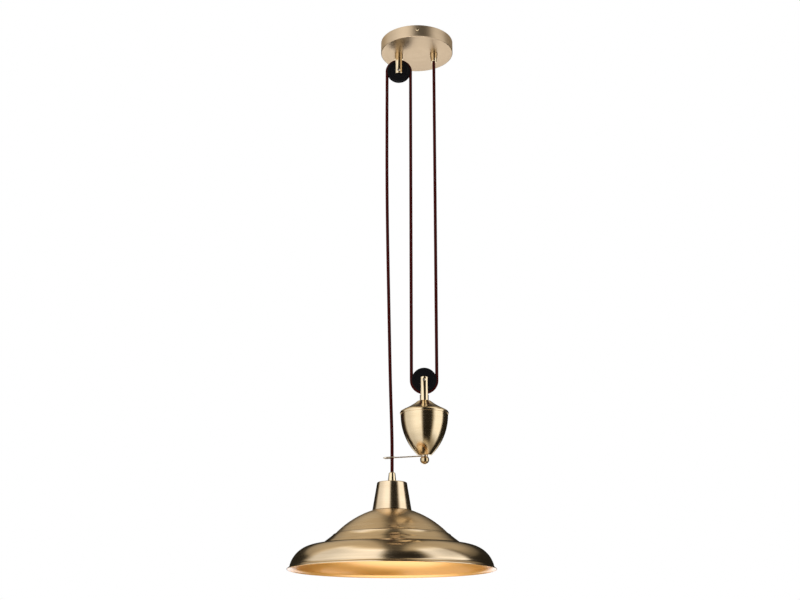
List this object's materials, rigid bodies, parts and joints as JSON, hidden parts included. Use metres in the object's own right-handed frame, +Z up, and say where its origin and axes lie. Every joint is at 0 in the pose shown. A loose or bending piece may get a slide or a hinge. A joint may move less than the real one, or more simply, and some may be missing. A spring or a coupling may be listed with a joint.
{
  "type": "rise and fall pendant light",
  "caption": "Ceiling pendant with a wide spun brass shade that rises and falls on a braided flex over pulleys, balanced by an urn-shaped brass counterweight.",
  "frame": {"origin": "middle of the ceiling plate's top face, on the ceiling", "axes": "+Z up, +X from the shade's run of flex towards the fixed run, so that the two pulleys and all runs of flex lie in the XZ plane"},
  "size_m": [0.3994, 0.3994, 1.128],
  "materials": {
    "satin_brass": "satin, fine lathe brushing round the axis",
    "antique_brass": "satin antique, brushed round the axis, lacquered",
    "polished_brass": "polished",
    "shell_brass": "bright stamped",
    "zinc_steel": "zinc plated",
    "iron": "as cast",
    "black_plastic": "satin moulded",
    "holder_plastic": "moulded phenolic",
    "white_plastic": "moulded",
    "ceramic": "glazed porcelain",
    "braided_flex": "braided textile sleeve",
    "core_sleeve": "smooth insulation"
  },
  "bodies": {
    "ceiling_set": {"ceiling_plate": "zinc_steel", "ceiling_rose": "satin_brass", "rose_side_screws": "polished_brass", "terminal_block": "white_plastic", "rose_wiring": "core_sleeve", "upper_fork": "polished_brass", "fork_nut": "zinc_steel", "upper_axle": "zinc_steel", "ceiling_grip": "polished_brass", "grip_nut": "zinc_steel", "flex_rose_end": "braided_flex", "flex_fixed_run": "braided_flex", "flex_middle_run": "braided_flex", "flex_rose_turn": "braided_flex", "flex_shade_run": "braided_flex"},
    "upper_wheel": {"upper_pulley": "black_plastic", "upper_bush": "polished_brass"},
    "counterweight": {"lower_fork": "polished_brass", "lower_axle": "zinc_steel", "counterweight_cap": "antique_brass", "counterweight_shell": "antique_brass", "counterweight_core": "iron", "guide_arm": "polished_brass", "finial_ball": "polished_brass", "flex_weight_turn": "braided_flex"},
    "lower_wheel": {"lower_pulley": "black_plastic", "lower_bush": "polished_brass"},
    "shade_set": {"shade": "antique_brass", "neck_cover": "antique_brass", "shade_grip": "polished_brass", "cover_nut": "zinc_steel", "lampholder_cap": "holder_plastic", "lampholder_body": "holder_plastic", "lampholder_insert": "ceramic", "thread_shell": "shell_brass", "centre_contact": "shell_brass", "shade_ring": "holder_plastic", "holder_wiring": "core_sleeve", "flex_lamp_end": "braided_flex"}
  },
  "joints": [
    {"name": "shade_slide", "type": "slide", "parent": "ceiling_set", "child": "shade_set", "axis": [0, 0, 1], "range_m": [-0.6, 0.018], "deforming": ["flex_shade_run"]},
    {"name": "counterweight_slide", "type": "slide", "parent": "ceiling_set", "child": "counterweight", "axis": [0, 0, 1], "range_m": [-0.0095, 0.301], "deforming": ["flex_fixed_run", "flex_middle_run"]},
    {"name": "upper_wheel_turn", "type": "hinge", "parent": "ceiling_set", "child": "upper_wheel", "pos_m": [-0.0393, 0, -0.0686], "axis": [0, 1, 0], "range_deg": [-1360, 45]},
    {"name": "lower_wheel_turn", "type": "hinge", "parent": "counterweight", "child": "lower_wheel", "pos_m": [0.0115, 0, -0.7565], "axis": [0, 1, 0], "range_deg": [-25, 680]}
  ],
  "couplings": [
    {"joint": "counterweight_slide", "follows": "shade_slide", "ratio": -0.5},
    {"joint": "upper_wheel_turn", "follows": "shade_slide", "rad_per_m": 39.37},
    {"joint": "lower_wheel_turn", "follows": "shade_slide", "rad_per_m": -19.685}
  ]
}
